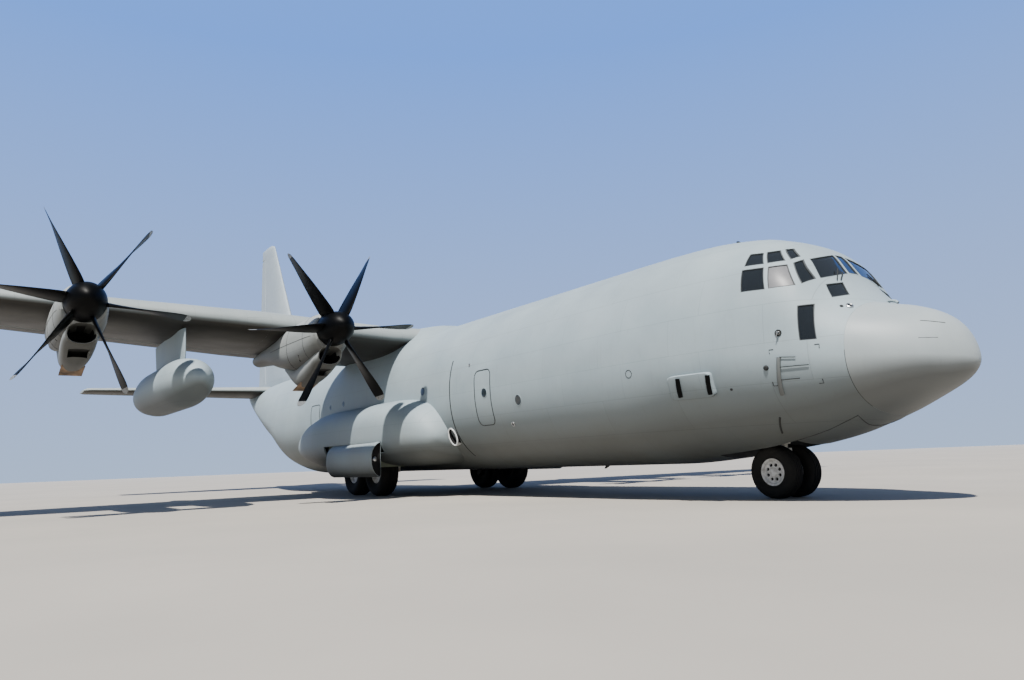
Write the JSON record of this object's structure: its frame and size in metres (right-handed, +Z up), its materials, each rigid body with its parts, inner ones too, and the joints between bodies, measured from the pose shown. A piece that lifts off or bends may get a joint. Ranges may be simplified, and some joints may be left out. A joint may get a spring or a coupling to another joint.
{
  "type": "four-engine turboprop military transport plane, 1:2 scale model",
  "caption": "High-wing transport plane with propellers, swept tail fin, rear cargo ramp, wheel sponsons and under-wing tanks, standing on its wheels.",
  "frame": {"origin": "centre of the bounding box, on the ground under the wheels", "axes": "+X towards the nose, +Y to port along the wing, +Z up"},
  "size_m": [17.185, 20.205, 5.905],
  "materials": {
    "painted_skin": "matte",
    "blade_black": "matte",
    "tyre_rubber": "matte",
    "wheel_metal": "satin",
    "gear_white": "gloss",
    "window_glass": "gloss",
    "cabin_trim": "matte",
    "floor_metal": "satin"
  },
  "bodies": {
    "airframe": {"nose_radome": "painted_skin", "cockpit_shell": "painted_skin", "cockpit_glazing": "window_glass", "flight_deck": "cabin_trim", "forward_fuselage": "painted_skin", "centre_fuselage": "painted_skin", "aft_fuselage": "painted_skin", "cargo_floor": "floor_metal", "centre_wing": "painted_skin", "outer_wing_left": "painted_skin", "inner_flap_left": "painted_skin", "outer_flap_left": "painted_skin", "external_tank_left": "painted_skin", "sponson_left": "painted_skin", "main_gear_door_left": "painted_skin", "main_gear_leg_left": "gear_white", "tailplane_left": "painted_skin", "outer_wing_right": "painted_skin", "inner_flap_right": "painted_skin", "outer_flap_right": "painted_skin", "external_tank_right": "painted_skin", "sponson_right": "painted_skin", "main_gear_door_right": "painted_skin", "main_gear_leg_right": "gear_white", "tailplane_right": "painted_skin", "nacelle_outer_left": "painted_skin", "nacelle_inner_left": "painted_skin", "nacelle_inner_right": "painted_skin", "nacelle_outer_right": "painted_skin", "nose_gear_leg": "gear_white", "fin": "painted_skin"},
    "prop_outer_left": {"propeller_outer_left": "blade_black", "spinner_outer_left": "blade_black"},
    "prop_inner_left": {"propeller_inner_left": "blade_black", "spinner_inner_left": "blade_black"},
    "prop_inner_right": {"propeller_inner_right": "blade_black", "spinner_inner_right": "blade_black"},
    "prop_outer_right": {"propeller_outer_right": "blade_black", "spinner_outer_right": "blade_black"},
    "main_wheel_front_left": {"main_hub_front_left": "wheel_metal", "main_tyre_front_left": "tyre_rubber"},
    "main_wheel_rear_left": {"main_hub_rear_left": "wheel_metal", "main_tyre_rear_left": "tyre_rubber"},
    "main_wheel_front_right": {"main_hub_front_right": "wheel_metal", "main_tyre_front_right": "tyre_rubber"},
    "main_wheel_rear_right": {"main_hub_rear_right": "wheel_metal", "main_tyre_rear_right": "tyre_rubber"},
    "nose_steering": {"nose_steering_fork": "gear_white"},
    "nose_wheels": {"nose_hubs": "wheel_metal", "nose_tyre_left": "tyre_rubber", "nose_tyre_right": "tyre_rubber"},
    "crew_door": {"crew_door": "painted_skin"},
    "cargo_ramp": {"cargo_ramp": "painted_skin"},
    "aft_cargo_door": {"aft_cargo_door": "painted_skin"},
    "rudder": {"rudder": "painted_skin"},
    "elevator_left": {"elevator_left": "painted_skin"},
    "aileron_left": {"aileron_left": "painted_skin"},
    "elevator_right": {"elevator_right": "painted_skin"},
    "aileron_right": {"aileron_right": "painted_skin"}
  },
  "joints": [
    {"name": "prop_spin_outer_left", "type": "hinge", "parent": "airframe", "child": "prop_outer_left", "pos_m": [2.3625, 5, 2.19], "axis": [1, 0, 0], "continuous": true},
    {"name": "prop_spin_inner_left", "type": "hinge", "parent": "airframe", "child": "prop_inner_left", "pos_m": [2.6125, 2.4, 2.0475], "axis": [1, 0, 0], "continuous": true},
    {"name": "prop_spin_inner_right", "type": "hinge", "parent": "airframe", "child": "prop_inner_right", "pos_m": [2.6125, -2.4, 2.0475], "axis": [1, 0, 0], "continuous": true},
    {"name": "prop_spin_outer_right", "type": "hinge", "parent": "airframe", "child": "prop_outer_right", "pos_m": [2.3625, -5, 2.19], "axis": [1, 0, 0], "continuous": true},
    {"name": "wheel_spin_front_left", "type": "hinge", "parent": "airframe", "child": "main_wheel_front_left", "pos_m": [1.1025, 1.1125, 0.325], "axis": [0, 1, 0], "continuous": true},
    {"name": "wheel_spin_rear_left", "type": "hinge", "parent": "airframe", "child": "main_wheel_rear_left", "pos_m": [0.3425, 1.1125, 0.325], "axis": [0, 1, 0], "continuous": true},
    {"name": "wheel_spin_front_right", "type": "hinge", "parent": "airframe", "child": "main_wheel_front_right", "pos_m": [1.1025, -1.1125, 0.325], "axis": [0, 1, 0], "continuous": true},
    {"name": "wheel_spin_rear_right", "type": "hinge", "parent": "airframe", "child": "main_wheel_rear_right", "pos_m": [0.3425, -1.1125, 0.325], "axis": [0, 1, 0], "continuous": true},
    {"name": "nose_steer", "type": "hinge", "parent": "airframe", "child": "nose_steering", "pos_m": [6.9075, 0, 0.35], "axis": [0, 0, 1], "range_deg": [-60, 60]},
    {"name": "nose_wheel_spin", "type": "hinge", "parent": "nose_steering", "child": "nose_wheels", "pos_m": [6.9075, 0, 0.2275], "axis": [0, 1, 0], "continuous": true},
    {"name": "crew_door_hinge", "type": "hinge", "parent": "airframe", "child": "crew_door", "pos_m": [6.1775, 0.7485, 0.514], "axis": [-1, 0, 0], "range_deg": [0, 90]},
    {"name": "cargo_ramp_hinge", "type": "hinge", "parent": "airframe", "child": "cargo_ramp", "pos_m": [-3.0575, 0, 0.3015], "axis": [0, -1, 0], "range_deg": [0, 29]},
    {"name": "aft_cargo_door_hinge", "type": "hinge", "parent": "airframe", "child": "aft_cargo_door", "pos_m": [-6.3075, 0, 1.655], "axis": [0, -1, 0], "range_deg": [0, 33]},
    {"name": "rudder_hinge", "type": "hinge", "parent": "airframe", "child": "rudder", "pos_m": [-7.4475, 0, 2.475], "axis": [-0.0874, 0, 0.9962], "range_deg": [-35, 35]},
    {"name": "elevator_hinge_left", "type": "hinge", "parent": "airframe", "child": "elevator_left", "pos_m": [-7.3225, 0.61, 2.175], "axis": [0.0107, 0.9999, 0], "range_deg": [-15, 40]},
    {"name": "aileron_hinge_left", "type": "hinge", "parent": "airframe", "child": "aileron_left", "pos_m": [-0.12763, 6.68, 2.41897], "axis": [0.0666, 0.9966, 0.0487], "range_deg": [-15, 25]},
    {"name": "elevator_hinge_right", "type": "hinge", "parent": "airframe", "child": "elevator_right", "pos_m": [-7.2875, -3.8825, 2.175], "axis": [-0.0107, 0.9999, 0], "range_deg": [-15, 40]},
    {"name": "aileron_hinge_right", "type": "hinge", "parent": "airframe", "child": "aileron_right", "pos_m": [0.08932, -9.925, 2.57768], "axis": [-0.0666, 0.9966, -0.0487], "range_deg": [-15, 25]}
  ]
}
